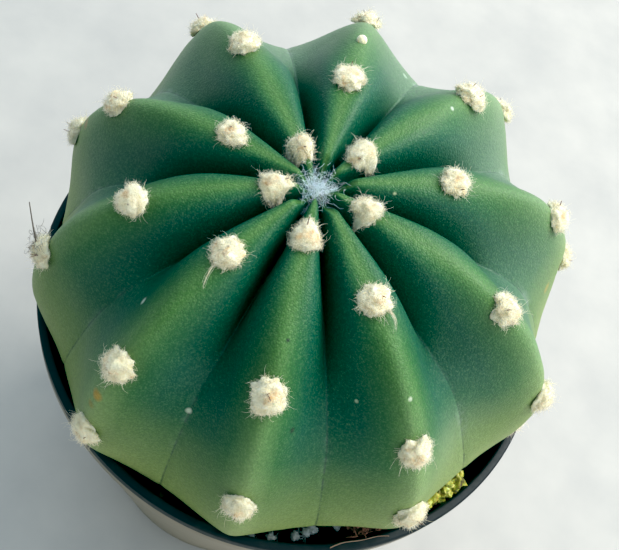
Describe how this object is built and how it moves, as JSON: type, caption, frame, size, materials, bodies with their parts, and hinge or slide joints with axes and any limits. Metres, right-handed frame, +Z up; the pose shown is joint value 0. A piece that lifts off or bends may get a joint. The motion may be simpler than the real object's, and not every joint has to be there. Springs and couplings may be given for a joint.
{
  "type": "potted round cactus",
  "caption": "Ribbed round green cactus with woolly areoles, growing in a small round nursery pot, black inside and taupe outside, that stands on its flat foot.",
  "frame": {"origin": "centre of the pot's flat foot, on the surface it stands on", "axes": "+Z up along the pot's axis; -Y is the side of the plant that leans forward, +X to its right"},
  "size_m": [0.0665, 0.0662, 0.0866],
  "materials": {
    "stem_skin": "satin",
    "areole_wool": "matte",
    "crown_wool": "matte",
    "old_spine": "matte",
    "pot_plastic": "satin",
    "growing_mix": "matte",
    "perlite": "matte",
    "bark": "matte",
    "moss": "matte"
  },
  "bodies": {
    "root": {"areole_wool_a1": "areole_wool", "areole_wool_a2": "areole_wool", "areole_wool_a3": "areole_wool", "areole_wool_b1": "areole_wool", "areole_wool_b2": "areole_wool", "areole_wool_b3": "areole_wool", "areole_wool_c1": "areole_wool", "areole_wool_c2": "areole_wool", "areole_wool_c3": "areole_wool", "areole_wool_d1": "areole_wool", "areole_wool_d2": "areole_wool", "areole_wool_d3": "areole_wool", "areole_wool_e1": "areole_wool", "areole_wool_e2": "areole_wool", "areole_wool_e3": "areole_wool", "areole_wool_e4": "areole_wool", "areole_wool_f1": "areole_wool", "areole_wool_f2": "areole_wool", "areole_wool_f3": "areole_wool", "areole_wool_f4": "areole_wool", "areole_wool_g1": "areole_wool", "areole_wool_g2": "areole_wool", "areole_wool_g3": "areole_wool", "areole_wool_g4": "areole_wool", "areole_wool_h1": "areole_wool", "areole_wool_h2": "areole_wool", "areole_wool_h3": "areole_wool", "areole_wool_h4": "areole_wool", "areole_wool_i1": "areole_wool", "areole_wool_i2": "areole_wool", "areole_wool_i3": "areole_wool", "areole_wool_i4": "areole_wool", "areole_wool_j1": "areole_wool", "areole_wool_j2": "areole_wool", "areole_wool_j3": "areole_wool", "bark_chip_1": "bark", "bark_chip_2": "bark", "crown_wool": "crown_wool", "long_spine": "old_spine", "moss_clump": "moss", "perlite_1": "perlite", "perlite_2": "perlite", "perlite_3": "perlite", "pot": "pot_plastic", "soil": "growing_mix", "stem": "stem_skin"}
  },
  "joints": []
}
